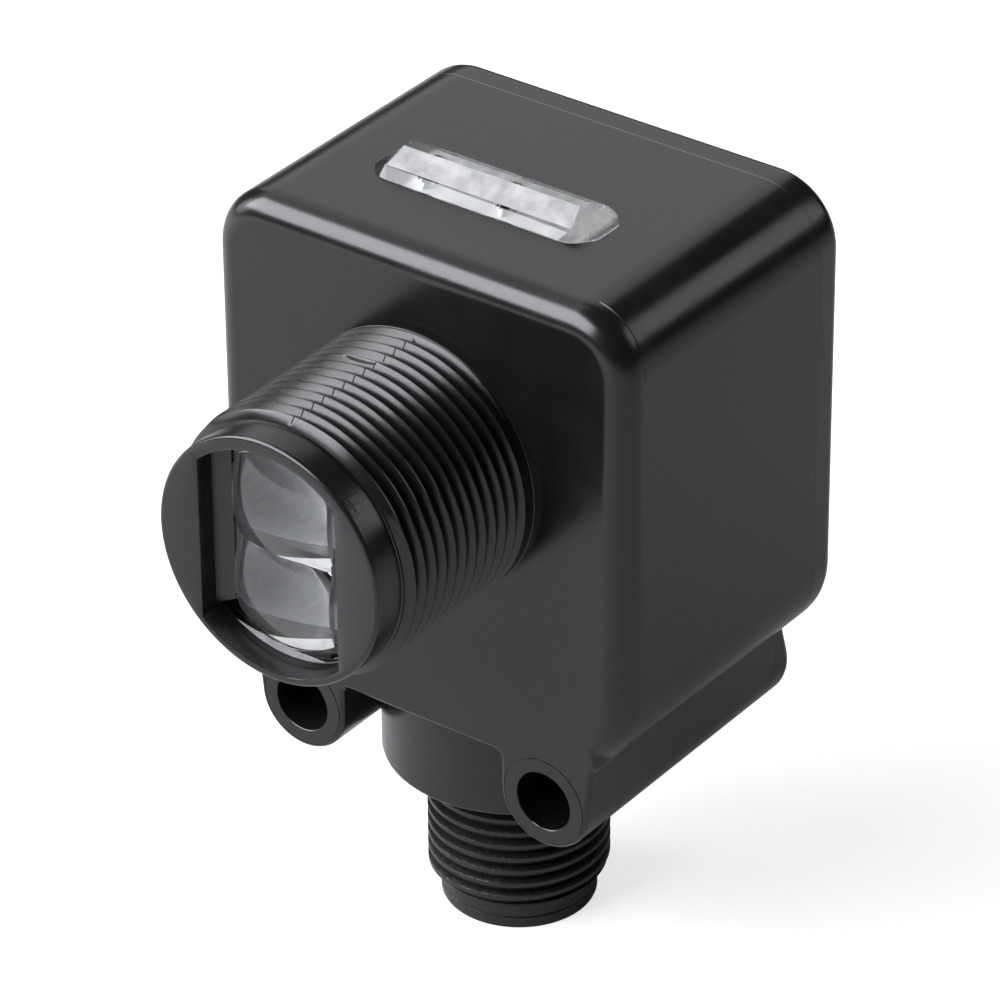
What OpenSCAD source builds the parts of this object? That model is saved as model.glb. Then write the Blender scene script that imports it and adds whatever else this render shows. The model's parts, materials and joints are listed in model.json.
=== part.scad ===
// Photoelectric sensor: a box body with a threaded nose barrel at the front, two mounting lugs under
// it, a long indicator window on top and a threaded round connector at the bottom.
// The origin is on the nose axis, in the plane of the body's front face. The nose points along -Y,
// the connector points along -Z, and the two optical channels lie one above the other.

/* [Body] */
// Width of the body across its sides
body_w = 32; // [31.5:0.1:33]
// Height of the body's top face above the nose axis
body_top = 14.4; // [14:0.1:15]
// Depth of the body's underside below the nose axis
body_drop = 19.2; // [19:0.1:19.6]
// Depth from the front face to the back of the cover
body_depth = 22.8; // [22.6:0.1:23.6]
// Where the rear cover meets the housing
cover_seam = 20.4; // [20.2:0.1:20.6]
// Wall thickness of the housing
wall = 1.8; // [1.6:0.1:1.9]
// Radius of the body's upper edges
corner_top = 4.4; // [4:0.1:5]
// Radius of the body's lower edges
corner_low = 6.4; // [6:0.1:6.8]
// Rounding of the edge around the front face
front_round = 1.7; // [1.2:0.1:1.8]

/* [Nose] */
// Outer diameter of the nose thread
nose_d = 18; // [18]
// Pitch of both threads
pitch = 1; // [1]
// Number of nose thread crests
nose_crests = 12; // [11:1:12]
// Outer diameter of the smooth band and the bezel
bezel_d = 16.7; // [16.4:0.1:16.8]
// Front of the bezel, ahead of the front face
nose_len = 14.7; // [14.7:0.1:15.5]
// Thickness of the bezel
bezel_t = 1.8; // [1.7:0.1:1.9]
// Diameter that the window's round edges follow
window_d = 14.8; // [14.4:0.1:14.9]
// Width between the window's straight sides
window_w = 10.4; // [10:0.1:10.8]

/* [Lens] */
// Surface radius of each lens dome
dome_r = 8.6; // [8.2:0.1:9]
// Distance of each optical channel from the nose axis
channel_z = 2.9; // [2.8:0.1:3]
// Width of the lens domes
dome_w = 7.2; // [7:0.1:7.6]

/* [Lugs] */
// Distance between the two mounting holes
lug_spacing = 19.2; // [19:0.1:19.4]
// Depth of the mounting holes below the nose axis
lug_drop = 21.6; // [21.4:0.1:22]
// Diameter of the mounting holes
lug_hole_d = 4.1; // [4:0.1:4.3]
// Outer radius of a lug
lug_r = 3.35; // [3.2:0.05:3.4]

/* [Connector] */
// Distance of the connector's axis behind the front face
plug_y = 10.4; // [10.3:0.1:10.5]
// Diameter of the boss that holds the connector
boss_d = 17.8; // [17.6:0.1:18]
// Bottom of the boss below the nose axis
boss_drop = 26.3; // [26.2:0.1:27]
// Outer diameter of the connector thread
plug_d = 12; // [12]
// Number of connector thread crests
plug_crests = 9; // [8:1:9]
// Diameter of the smooth tip below the connector thread
tip_d = 10.3; // [10:0.1:10.4]
// Bottom of the connector below the nose axis
plug_drop = 37.8; // [37.6:0.1:38.4]
// Diameter of the circle that the contact pins stand on
pin_circle = 7; // [7]
// Diameter of a contact pin
pin_d = 1; // [1]

/* [Indicator window] */
// Length of the window's foot across the body
window_foot = 17.0; // [16.6:0.1:17.2]
// Width of the window's foot
window_foot_w = 5.2; // [5:0.1:5.3]
// Middle of the window behind the front face
window_y = 9.1; // [9:0.1:9.2]
// Height of the window above the body's top
window_h = 1.5; // [1:0.1:1.6]

/* [Boards] */
// Thickness of the circuit boards
board_t = 1.2; // [1:0.1:1.2]
// Front of the optics board behind the front face
optics_y = 3; // [3]
// Front of the main board behind the front face
main_y = 11.6; // [11.6:0.1:11.8]

/* [Hidden] */
$fn = 64;
FIT = 0.05;
EPS = 0.01;
HULL_FN = 32;
FRONT_STEPS = 4;
REAR_ROUND = 1.0;

half_w = body_w / 2;
inner_w = body_w - 2 * wall;
thread_depth = 0.61 * pitch;
nose_root = nose_d / 2 - thread_depth;
plug_root = plug_d / 2 - thread_depth;
barrel_front = -nose_len + bezel_t;
thread_back = -0.7;
thread_front = thread_back - nose_crests * pitch;
relief_r = nose_d / 2 + 0.2;
relief_depth = 0.3;
lens_seat_r = 7.6;
flange_t = 1.0;
seal_t = 0.7;
seat_back = barrel_front + flange_t + seal_t;
tube_r = 7;
tube_flange_r = 8.6;
septum = 0.5;
tube_rear = 1;
led_r = 1.5;
lug_slant_x = 13.8;
lug_slant_z = -13.7;
boss_floor = 1.3;
plug_thread_top = -boss_drop - 0.1;
plug_thread_low = plug_thread_top - plug_crests * pitch;
shell_r = 7;
shell_top = -19.9;
shell_seat = -boss_drop + boss_floor;
shell_seal_t = 0.8;
neck_r = 5.5;
collar_r = 4.9;
collar_top = -22.5;
socket_r = 4.3;
carrier_face = -29.5;
pin_tip = -36.8;
pin_tail = -20.5;
key_r = 0.8;
lead_r = 0.45;
main_low = -14;
main_high = 11.8;
main_half_w = 13.9;
rail_w = 1.4;
post_r = 1.1;
post_x = 11.6;
window_x = -0.5;
window_end_w = 2.4;
window_flat_w = 1.6;
window_flat_y = -0.2;
window_flat = 13.4;
indicator_x = [-5.6, 0.4];

PIN_PLACES = [[-1, -1], [1, -1], [1, 1], [-1, 1]];
LEAD_COLOURS = ["saddlebrown", "white", "royalblue", "black"];

// Everything drawn in the XY plane becomes a slab standing in XZ, from y0 back to y1.
module slab(y0, y1) {
    translate([0, y1, 0])
        rotate([90, 0, 0])
            linear_extrude(y1 - y0)
                children();
}

// A profile drawn with its radius along X and its depth along Y, turned about the nose axis.
module turned() {
    rotate([90, 0, 0])
        mirror([0, 0, 1])
            rotate_extrude()
                children();
}

module disc(r, y0, y1) {
    slab(y0, y1)
        circle(r);
}

module post_down(r, z_low, z_high) {
    translate([0, 0, z_low])
        cylinder(r = r, h = z_high - z_low);
}

// Rounded outline of the body, drawn smaller by inset all round.
module body_outline(inset = 0, foot_inset = -1) {
    foot = foot_inset < 0 ? inset : foot_inset;
    rt = corner_top - inset;
    rl = corner_low - inset;
    w = half_w - inset;
    top = body_top - inset;
    low = -body_drop + foot;
    translate([-w, low + rl])
        square([2 * w, top - rt - low - rl]);
    translate([-w + rt, top - rt - EPS])
        square([2 * (w - rt), rt + EPS]);
    translate([-w + rl, low])
        square([2 * (w - rl), rl + EPS]);
    for (side = [-1, 1]) {
        translate([side * (w - rt), top - rt])
            circle(rt);
        translate([side * (w - rl), low + rl])
            circle(rl);
    }
}

// One lug: a round eye joined to the body by a block whose outer side leans inwards.
module lug_outline() {
    x = lug_spacing / 2;
    translate([x, -lug_drop])
        circle(lug_r);
    polygon([
        [x - lug_r, lug_slant_z], [x - lug_r, -lug_drop], [x + lug_r, -lug_drop], [lug_slant_x, lug_slant_z]
    ]);
}

module both_sides() {
    children();
    mirror([1, 0, 0])
        children();
}

module lug_holes(y0, y1) {
    for (side = [-1, 1])
        translate([side * lug_spacing / 2, 0, -lug_drop])
            disc(lug_hole_d / 2, y0, y1);
}

// Ring profile of a thread: full crests with flat tops, one pitch apart, between root grooves.
function crest(i, root, top, start) = [
    [root, start + i * pitch + 0.06],
    [top, start + (i + 0.36) * pitch],
    [top, start + (i + 0.64) * pitch],
    [root, start + (i + 1) * pitch - 0.06]
];

module thread_profile(root, top, start, crests) {
    rim = [for (i = [0:crests - 1]) each crest(i, root, top, start)];
    polygon(concat([[1, start]], [[root, start]], rim, [[root, start + crests * pitch], [1, start + crests * pitch]]));
}

// The front edge is rounded in slices, each drawn smaller than the one behind it.
module rounded_front() {
    for (i = [0:FRONT_STEPS - 1]) {
        a0 = 90 * i / FRONT_STEPS;
        a1 = 90 * (i + 1) / FRONT_STEPS;
        hull() {
            front_slice(a0);
            front_slice(a1);
        }
    }
}

module front_slice(angle) {
    inset = front_round * (1 - sin(angle));
    y = front_round * (1 - cos(angle));
    slab(y, y + EPS)
        body_outline(inset, 0, $fn = HULL_FN);
}

module barrel_outside() {
    turned()
        thread_profile(nose_root, nose_d / 2, thread_front, nose_crests);
    disc(bezel_d / 2, barrel_front, thread_front);
    disc(nose_root, thread_back, front_round);
}

// Shallow ring cut into the front face, so that a panel with a clearance hole lies flat on it.
module barrel_relief() {
    slab(-EPS, relief_depth)
        difference() {
            circle(relief_r);
            circle(nose_root);
        }
}

module barrel_bore() {
    disc(lens_seat_r, barrel_front - 1, seat_back);
    disc(tube_r, seat_back - EPS, wall + 1);
}

module boss_outside() {
    translate([0, plug_y, 0])
        post_down(boss_d / 2, -boss_drop, -body_drop + corner_low / 2);
}

module boss_bore() {
    translate([0, plug_y, 0]) {
        post_down(shell_r + FIT, shell_seat, -body_drop + wall + 1);
        post_down(neck_r + FIT, -boss_drop - 1, -body_drop);
    }
}

// Outline of the window's foot: a long oblong with cut-off corners.
module window_outline(length, width, point) {
    polygon([
        [-length / 2, -window_end_w / 2], [-length / 2 + point, -width / 2],
        [length / 2 - point, -width / 2], [length / 2, -window_end_w / 2],
        [length / 2, window_end_w / 2], [length / 2 - point, width / 2],
        [-length / 2 + point, width / 2], [-length / 2, window_end_w / 2]
    ]);
}

module board_rails() {
    both_sides()
        translate([inner_w / 2 - rail_w, wall - EPS, main_low + 2])
            cube([rail_w + EPS, main_y - wall + EPS, main_high - main_low - 4]);
}

module housing() {
    color("#1c1d1f")
        difference() {
            union() {
                rounded_front();
                slab(front_round, cover_seam)
                    body_outline();
                slab(0, cover_seam)
                    lug_outline();
                slab(0, cover_seam)
                    mirror([1, 0])
                        lug_outline();
                barrel_outside();
                boss_outside();
            }
            difference() {
                slab(wall, cover_seam + 1)
                    body_outline(wall);
                board_rails();
            }
            barrel_relief();
            barrel_bore();
            boss_bore();
            lug_holes(-1, cover_seam + 1);
            translate([window_x, window_y, body_top - wall - 1])
                linear_extrude(wall + 2)
                    window_outline(window_foot, window_foot_w, 1.6);
        }
}

module cover_posts() {
    for (x = [-post_x, post_x])
        for (z = [-8.5, 8])
            translate([x, 0, z])
                disc(post_r, main_y + board_t, cover_seam + 1);
}

module cover_plate() {
    y_flat = body_depth - REAR_ROUND;
    slab(cover_seam, y_flat) {
        body_outline();
        lug_outline();
        mirror([1, 0])
            lug_outline();
    }
    hull() {
        slab(y_flat - EPS, y_flat)
            body_outline($fn = HULL_FN);
        slab(y_flat + 0.7 * REAR_ROUND, y_flat + 0.7 * REAR_ROUND + EPS)
            body_outline(0.3 * REAR_ROUND, $fn = HULL_FN);
        slab(body_depth - EPS, body_depth)
            body_outline(REAR_ROUND, $fn = HULL_FN);
    }
    slab(y_flat - EPS, body_depth)
        lug_outline();
    slab(y_flat - EPS, body_depth)
        mirror([1, 0])
            lug_outline();
}

module rear_cover() {
    lip_t = 1.2;
    lip_depth = 1.6;
    color("#202123")
        difference() {
            union() {
                cover_plate();
                slab(cover_seam - lip_depth, cover_seam + EPS)
                    difference() {
                        body_outline(wall + FIT);
                        body_outline(wall + FIT + lip_t);
                    }
                cover_posts();
            }
            lug_holes(cover_seam - 1, body_depth + 1);
        }
}

module nose_bezel() {
    chamfer = 0.25;
    r = bezel_d / 2;
    color("#242527")
        difference() {
            turned()
                polygon([
                    [0, -nose_len], [r - chamfer, -nose_len], [r, -nose_len + chamfer], [r, barrel_front],
                    [0, barrel_front]
                ]);
            slab(-nose_len - 1, barrel_front + 1)
                intersection() {
                    circle(window_d / 2);
                    square([window_w, window_d], center = true);
                }
        }
}

module lens_dome(side) {
    apex = -nose_len + 0.5;
    translate([0, apex + dome_r, side * channel_z])
        sphere(dome_r);
}

module lens() {
    dome_edge_r = 6.6;
    color("#cfd6da", 0.5) {
        disc(lens_seat_r - FIT, barrel_front, barrel_front + flange_t);
        intersection() {
            union() {
                lens_dome(1);
                lens_dome(-1);
            }
            slab(-nose_len - 1, barrel_front + EPS)
                intersection() {
                    circle(dome_edge_r);
                    square([dome_w, 2 * dome_edge_r], center = true);
                }
        }
    }
}

module lens_seal() {
    color("#303030")
        slab(seat_back - seal_t, seat_back)
            difference() {
                circle(lens_seat_r - FIT);
                circle(tube_r - 0.4);
            }
}

// Light channel on one side of the wall that keeps the two light paths apart.
module channel(side) {
    channel_r = 6.2;
    channel_top = 5.3;
    slab(seat_back, -tube_rear)
        intersection() {
            circle(channel_r);
            translate([-channel_r, side > 0 ? septum : -channel_top])
                square([2 * channel_r, channel_top - septum]);
        }
}

module light_baffle() {
    pocket = 4.9;
    color("#151515")
        difference() {
            union() {
                disc(tube_r - FIT, seat_back, wall);
                disc(tube_flange_r, wall, optics_y);
            }
            channel(1);
            channel(-1);
            translate([0, 0, channel_z])
                disc(led_r + 0.1, -tube_rear - 1, optics_y + 1);
            translate([-pocket / 2, -tube_rear - 1, -channel_z - pocket / 2])
                cube([pocket, optics_y + tube_rear + 2, pocket - 0.1]);
        }
}

module emitter_led() {
    tip = -0.4;
    color("#f0f0ff", 0.7)
        translate([0, 0, channel_z]) {
            disc(led_r, tip, optics_y - 0.6);
            translate([0, tip, 0])
                sphere(led_r);
            disc(led_r - 0.1, optics_y - 0.7, optics_y);
            for (x = [-1.27, 1.27])
                translate([x / 2 - 0.2, optics_y, -0.2])
                    cube([0.4, board_t + 0.8, 0.4]);
        }
}

module receiver_diode() {
    side = 3.0;
    thick = 1.1;
    color("#1d1f2b", 0.9)
        translate([0, 0, -channel_z]) {
            translate([-side / 2, optics_y - thick, -side / 2])
                cube([side, thick, side]);
            translate([0, optics_y - thick, 0])
                sphere(0.8);
            for (x = [-0.8, 0.8])
                translate([x - 0.2, optics_y, -0.2])
                    cube([0.4, board_t + 0.6, 0.4]);
        }
}

// Metal can around the receiver, open at the back, with a round sight hole at the front.
module receiver_shield() {
    outer = 4.5;
    sheet = 0.3;
    depth = 2.6;
    color("silver")
        translate([0, 0, -channel_z - 0.05])
            difference() {
                translate([-outer / 2, optics_y - depth, -outer / 2])
                    cube([outer, depth, outer]);
                translate([-outer / 2 + sheet, optics_y - depth + sheet, -outer / 2 + sheet])
                    cube([outer - 2 * sheet, depth, outer - 2 * sheet]);
                disc(1.3, optics_y - depth - 1, optics_y);
            }
}

module board_hole(x, z, y, r) {
    translate([x, 0, z])
        disc(r, y - 1, y + board_t + 1);
}

module optics_board() {
    side = 17.4;
    cut = 3;
    h = side / 2;
    lead_slot = 0.5;
    color("seagreen")
        difference() {
            slab(optics_y, optics_y + board_t)
                polygon([
                    [-h + cut, -h], [h - cut, -h], [h, -h + cut], [h, h - cut],
                    [h - cut, h], [-h + cut, h], [-h, h - cut], [-h, -h + cut]
                ]);
            for (x = [-1.27, 1.27])
                translate([x / 2 - lead_slot / 2, optics_y - 1, channel_z - lead_slot / 2])
                    cube([lead_slot, board_t + 2, lead_slot]);
            for (x = [-0.8, 0.8])
                translate([x - lead_slot / 2, optics_y - 1, -channel_z - lead_slot / 2])
                    cube([lead_slot, board_t + 2, lead_slot]);
            for (i = [0:5])
                board_hole(link_x(i), link_z, optics_y, 0.4);
        }
}

link_z = 7.2;
link_step = 1.6;
function link_x(i) = (i - 2.5) * link_step;

module board_link() {
    color("#101010")
        translate([-3.1 * link_step, main_y - 2.2, link_z - 1.1])
            cube([6.2 * link_step, 2.2, 2.2]);
    color("gold")
        for (i = [0:5])
            translate([link_x(i), 0, link_z])
                disc(0.32, optics_y, main_y + board_t + 0.6);
}

module main_board() {
    color("seagreen")
        difference() {
            slab(main_y, main_y + board_t)
                translate([-main_half_w, main_low])
                    square([2 * main_half_w, main_high - main_low]);
            for (i = [0:5])
                board_hole(link_x(i), link_z, main_y, 0.4);
        }
}

// A row of flat leads that leaves a chip body to one side and turns down on to its board.
module gull_leads(count, step, reach, y_board, front) {
    lead_w = 0.3;
    for (i = [0:count - 1])
        translate([0, 0, (i - (count - 1) / 2) * step - lead_w / 2]) {
            translate([0, y_board + (front ? -0.6 : 0.4), 0])
                cube([reach - 0.3, 0.2, lead_w]);
            translate([reach - 0.5, y_board + (front ? -0.6 : 0), 0])
                cube([0.2, 0.6, lead_w]);
            translate([reach - 0.4, y_board + (front ? -0.2 : 0), 0])
                cube([0.6, 0.2, lead_w]);
        }
}

module control_chip() {
    body = 7;
    thick = 1.1;
    translate([3.5, 0, -1.5]) {
        color("#141414")
            difference() {
                translate([-body / 2, main_y - 0.1 - thick, -body / 2])
                    cube([body, thick, body]);
                translate([-body / 2 + 0.9, 0, body / 2 - 0.9])
                    disc(0.4, main_y - thick - 1, main_y - thick);
            }
        color("silver")
            both_sides()
                translate([body / 2 - EPS, 0, 0])
                    gull_leads(8, 0.8, 1, main_y, true);
    }
}

module voltage_regulator() {
    thick = 1.3;
    translate([-8, 0, -6]) {
        color("#141414")
            translate([-2.2, main_y - 0.1 - thick, -1.2])
                cube([4.4, thick, 2.4]);
        color("silver") {
            for (x = [-1.5, 0, 1.5])
                translate([x - 0.25, main_y - 0.2, -2.2])
                    cube([0.5, 0.2, 1.2]);
            translate([-0.9, main_y - 0.2, 1])
                cube([1.8, 0.2, 1]);
        }
    }
}

// A three-legged transistor on the back of the main board.
module transistor(x, z) {
    back = main_y + board_t;
    translate([x, back, z]) {
        color("#141414")
            translate([-1.7, 0.1, -0.9])
                cube([3.4, 1.4, 1.8]);
        color("silver") {
            for (dx = [-1, 1])
                translate([dx - 0.25, 0, -1.7])
                    cube([0.5, 0.25, 1]);
            translate([-0.25, 0, 0.7])
                cube([0.5, 0.25, 1]);
        }
    }
}

module output_transistors() {
    transistor(-5, -3);
    transistor(5, -3);
}

module diode(x, z) {
    back = main_y + board_t;
    translate([x, back, z]) {
        color("#181818")
            translate([-2.1, 0.1, -1.3])
                cube([4.2, 2, 2.6]);
        color("silver")
            both_sides()
                translate([1.9, 0, -0.7])
                    cube([0.6, 0.6, 1.4]);
    }
}

module protection_diodes() {
    diode(-5, 3.5);
    diode(5, 3.5);
}

// A ceramic capacitor: a brown block between two metal end caps.
module capacitor(x, z) {
    translate([x, main_y, z]) {
        color("tan")
            translate([-0.6, -1.1, -0.6])
                cube([1.2, 1.05, 1.2]);
        color("silver")
            both_sides()
                translate([0.55, -1.15, -0.65])
                    cube([0.45, 1.15, 1.3]);
    }
}

module filter_capacitors() {
    for (z = [-6.5, -3.5, -0.5, 2.5])
        capacitor(10.3, z);
}

// A side-looking light that shines up into the indicator window.
module indicator_led(x, shade) {
    top = main_high - 0.2;
    translate([x, main_y, top]) {
        color("white")
            translate([-1.5, -1.9, -1.6])
                cube([3, 1.9, 1.1]);
        color(shade, 0.8)
            translate([0, -1, -0.6])
                cylinder(r = 0.7, h = 0.6);
    }
}

module power_indicator() {
    indicator_led(indicator_x[0], "limegreen");
}

module output_indicator() {
    indicator_led(indicator_x[1], "gold");
}

// The clear window fills its slot and stands up as a long prism with a flat top.
module indicator_window() {
    point = 1.6;
    sheet = wall;
    color("#e6e9ea", 0.6)
        translate([window_x, window_y, 0]) {
            translate([0, 0, body_top - sheet])
                linear_extrude(sheet)
                    window_outline(window_foot - 2 * FIT, window_foot_w - 2 * FIT, point);
            hull() {
                translate([0, 0, body_top - EPS])
                    linear_extrude(0.2)
                        window_outline(window_foot - 2 * FIT, window_foot_w - 2 * FIT, point);
                translate([-window_flat / 2, window_flat_y - window_flat_w / 2, body_top])
                    cube([window_flat, window_flat_w, window_h]);
            }
        }
}

module connector_shell() {
    color("#1a1b1c")
        translate([0, plug_y, 0])
            difference() {
                union() {
                    post_down(shell_r, shell_seat + shell_seal_t, shell_top);
                    post_down(neck_r, plug_thread_top - EPS, shell_seat + shell_seal_t + EPS);
                    rotate_extrude()
                        thread_profile(plug_root, plug_d / 2, plug_thread_low, plug_crests);
                    post_down(tip_d / 2, -plug_drop, plug_thread_low + EPS);
                }
                post_down(socket_r, -plug_drop - 1, shell_top + 1);
                post_down(collar_r, shell_seat, shell_top + 1);
            }
}

// Rubber ring between the connector shell's flange and the floor of the boss.
module connector_seal() {
    color("#2a2a2a")
        translate([0, plug_y, 0])
            difference() {
                post_down(shell_r, shell_seat, shell_seat + shell_seal_t);
                post_down(neck_r + FIT, shell_seat - 1, shell_seat + shell_seal_t + 1);
            }
}

function pin_place(i) = [
    PIN_PLACES[i][0] * pin_circle / 2 * cos(45),
    PIN_PLACES[i][1] * pin_circle / 2 * sin(45)
];

module at_pin(i) {
    translate([pin_place(i)[0], plug_y + pin_place(i)[1], 0])
        children();
}

module contact_carrier() {
    key_low = -plug_drop + 1;
    color("#1f1f1f")
        difference() {
            union() {
                translate([0, plug_y, 0]) {
                    post_down(socket_r - FIT, carrier_face, shell_seat + EPS);
                    post_down(collar_r - FIT, shell_seat, collar_top);
                }
                translate([0, plug_y + socket_r - 0.9, 0])
                    intersection() {
                        post_down(key_r, key_low, carrier_face + EPS);
                        translate([0, -socket_r + 0.9, 0])
                            post_down(socket_r - FIT, key_low, carrier_face + EPS);
                    }
            }
            for (i = [0:3])
                at_pin(i)
                    post_down(pin_d / 2, carrier_face - 1, collar_top + 1);
        }
}

module contact_pin(i) {
    tip_round = pin_d / 2;
    color("gold")
        at_pin(i) {
            post_down(pin_d / 2, pin_tip + tip_round, collar_top);
            translate([0, 0, pin_tip + tip_round])
                sphere(tip_round);
            post_down(0.35, collar_top - EPS, pin_tail);
        }
}

// A wire through a list of places, with a slightly swollen bend at each turn.
module wire(places) {
    bend_r = 1.06 * lead_r;
    for (i = [1:len(places) - 1])
        wire_run(places[i - 1], places[i]);
    for (i = [1:len(places) - 2])
        translate(places[i])
            sphere(bend_r);
}

module wire_run(from, to) {
    d = to - from;
    length = norm(d);
    translate(from)
        rotate([0, acos(d[2] / length), atan2(d[1], d[0])])
            cylinder(r = lead_r, h = length);
}

// The front pair of leads goes straight to the front of the board, the rear pair round to its back.
module lead(i) {
    x = pin_place(i)[0];
    y = plug_y + pin_place(i)[1];
    back = main_y + board_t;
    front_route = [[x, y, pin_tail], [x, y, main_low + 2.5], [x, main_y, main_low + 2.5]];
    rear_route = [
        [x, y, pin_tail], [x, y, pin_tail + 1.5], [x, back + 1.5, main_low + 2.5], [x, back, main_low + 2.5]
    ];
    color(LEAD_COLOURS[i])
        wire(PIN_PLACES[i][1] < 0 ? front_route : rear_route);
}

housing();
rear_cover();
nose_bezel();
lens();
lens_seal();
light_baffle();
emitter_led();
receiver_diode();
receiver_shield();
optics_board();
board_link();
main_board();
control_chip();
voltage_regulator();
output_transistors();
protection_diodes();
filter_capacitors();
power_indicator();
output_indicator();
indicator_window();
connector_shell();
connector_seal();
contact_carrier();
contact_pin(0);  // contact_pin_1
contact_pin(1);  // contact_pin_2
contact_pin(2);  // contact_pin_3
contact_pin(3);  // contact_pin_4
lead(0);  // lead_1
lead(1);  // lead_2
lead(2);  // lead_3
lead(3);  // lead_4
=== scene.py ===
"""Looks of the photoelectric sensor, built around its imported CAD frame.

Shapes are worked out in millimetres in the row frame: the nose points along -Y and the connector along -Z.
"""

import json
import math

import bmesh
import bpy
from mathutils import Matrix, Vector


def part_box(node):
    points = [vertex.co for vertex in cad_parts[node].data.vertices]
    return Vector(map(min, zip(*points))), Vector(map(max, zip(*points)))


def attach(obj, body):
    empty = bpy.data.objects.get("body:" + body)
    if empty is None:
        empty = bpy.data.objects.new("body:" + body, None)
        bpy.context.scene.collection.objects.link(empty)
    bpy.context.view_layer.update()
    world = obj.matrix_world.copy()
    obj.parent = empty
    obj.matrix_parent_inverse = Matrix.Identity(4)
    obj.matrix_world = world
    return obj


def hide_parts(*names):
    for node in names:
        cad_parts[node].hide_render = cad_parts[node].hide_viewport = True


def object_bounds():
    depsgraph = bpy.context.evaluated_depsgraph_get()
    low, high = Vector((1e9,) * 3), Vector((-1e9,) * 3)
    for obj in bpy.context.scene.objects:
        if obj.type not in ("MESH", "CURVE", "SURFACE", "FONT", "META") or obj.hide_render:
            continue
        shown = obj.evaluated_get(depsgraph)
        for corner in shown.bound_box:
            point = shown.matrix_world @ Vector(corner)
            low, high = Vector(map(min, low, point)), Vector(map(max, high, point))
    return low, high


MM = 0.001
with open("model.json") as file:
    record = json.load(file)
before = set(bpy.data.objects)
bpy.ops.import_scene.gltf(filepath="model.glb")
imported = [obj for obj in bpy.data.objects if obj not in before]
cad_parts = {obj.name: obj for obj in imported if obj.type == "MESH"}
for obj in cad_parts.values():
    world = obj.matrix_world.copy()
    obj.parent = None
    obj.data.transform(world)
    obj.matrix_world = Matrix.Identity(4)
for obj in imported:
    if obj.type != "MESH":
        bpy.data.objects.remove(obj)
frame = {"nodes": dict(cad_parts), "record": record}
cad_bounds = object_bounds()
nodes = frame["nodes"]
mounts = {m["name"]: m for m in frame["record"]["mounts"]}


def node_box(name):
    low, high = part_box(name)
    return low / MM, high / MM


# ---------------------------------------------------------------- sizes taken from the frame

BODY_HIGH = node_box("housing")[1]
COVER_LOW, COVER_HIGH = node_box("rear_cover")
BEZEL_LOW, BEZEL_HIGH = node_box("nose_bezel")
WINDOW_LOW, WINDOW_HIGH = node_box("indicator_window")
SHELL_LOW, SHELL_HIGH = node_box("connector_shell")

HALF_W = BODY_HIGH.x
TOP = BODY_HIGH.z
SEAM = BODY_HIGH.y
BACK = COVER_HIGH.y
NOSE_R = mounts["nose_thread"]["dims"]["r_mm"]
PLUG_R = mounts["connector_thread"]["dims"]["r_mm"]
PLUG_Y = mounts["connector_thread"]["pos_m"][1] / MM
LUG_X = mounts["mounting_holes"]["dims"]["spacing_x_mm"] / 2
LUG_Z = mounts["mounting_holes"]["pos_m"][2] / MM
LUG_HOLE_R = mounts["mounting_holes"]["dims"]["hole_r_mm"]
LUG_R = LUG_Z - COVER_LOW.z
BARREL_FRONT = BEZEL_HIGH.y
NOSE_TIP = BEZEL_LOW.y
BEZEL_R = BEZEL_HIGH.x
SHELL_TOP = SHELL_HIGH.z
PLUG_TIP = SHELL_LOW.z
WINDOW_X = (WINDOW_LOW.x + WINDOW_HIGH.x) / 2
WINDOW_Y = (WINDOW_LOW.y + WINDOW_HIGH.y) / 2

UNDERSIDE = -19.2
WALL = 1.8
CORNER_TOP = 4.4
CORNER_LOW = 6.4
BOSS_R = 8.9
BOSS_LOW = -26.3
PITCH = 1.0


def smooth(t):
    """Rises gently from 0 to 1 as t does."""
    t = min(max(t, 0.0), 1.0)
    return t * t * (3 - 2 * t)


def spread(start, end, count):
    """count + 1 even steps from start to end, both ends included."""
    return [start + (end - start) * i / count for i in range(count + 1)]


def polar(angle):
    """Cosine and sine of an angle in degrees."""
    a = math.radians(angle)
    return math.cos(a), math.sin(a)


# ---------------------------------------------------------------- mesh building

def make_object(name, verts, faces):
    """Object from points in millimetres."""
    mesh = bpy.data.meshes.new(name)
    mesh.from_pydata([Vector(v) * MM for v in verts], [], faces)
    obj = bpy.data.objects.new(name, mesh)
    bpy.context.scene.collection.objects.link(obj)
    clean(mesh)
    return obj


def clean(mesh):
    """Joins double points, drops empty faces and turns all faces outward."""
    work = bmesh.new()
    work.from_mesh(mesh)
    bmesh.ops.remove_doubles(work, verts=work.verts, dist=1e-7)
    bmesh.ops.dissolve_degenerate(work, edges=work.edges, dist=1e-7)
    bmesh.ops.recalc_face_normals(work, faces=work.faces)
    work.to_mesh(mesh)
    work.free()


def loft(name, rings, looped=False):
    """Skin over rings of points. Each ring has the same number of points and is closed.

    Looped joins the last ring to the first one; otherwise both ends are capped.
    """
    count = len(rings[0])
    verts = [p for ring in rings for p in ring]
    faces = []
    pairs = len(rings) if looped else len(rings) - 1
    for k in range(pairs):
        a = k * count
        b = (k + 1) % len(rings) * count
        for i in range(count):
            j = (i + 1) % count
            faces.append((a + i, a + j, b + j, b + i))
    if not looped:
        faces.append(tuple(range(count)))
        faces.append(tuple(range(len(verts) - count, len(verts))))
    return make_object(name, verts, faces)


def about_nose(angle, r, y):
    """Place on a circle about the nose axis; angle 90 is at the top."""
    c, s = polar(angle)
    return r * c, y, r * s


def about_plug(angle, r, z):
    """Place on a circle about the connector axis."""
    c, s = polar(angle)
    return r * c, PLUG_Y + r * s, z


def along_y(x, z):
    """Places on circles about an axis through (x, z) that runs from front to back."""
    def place(angle, r, y):
        c, s = polar(angle)
        return x + r * c, y, z + r * s
    return place


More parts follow.
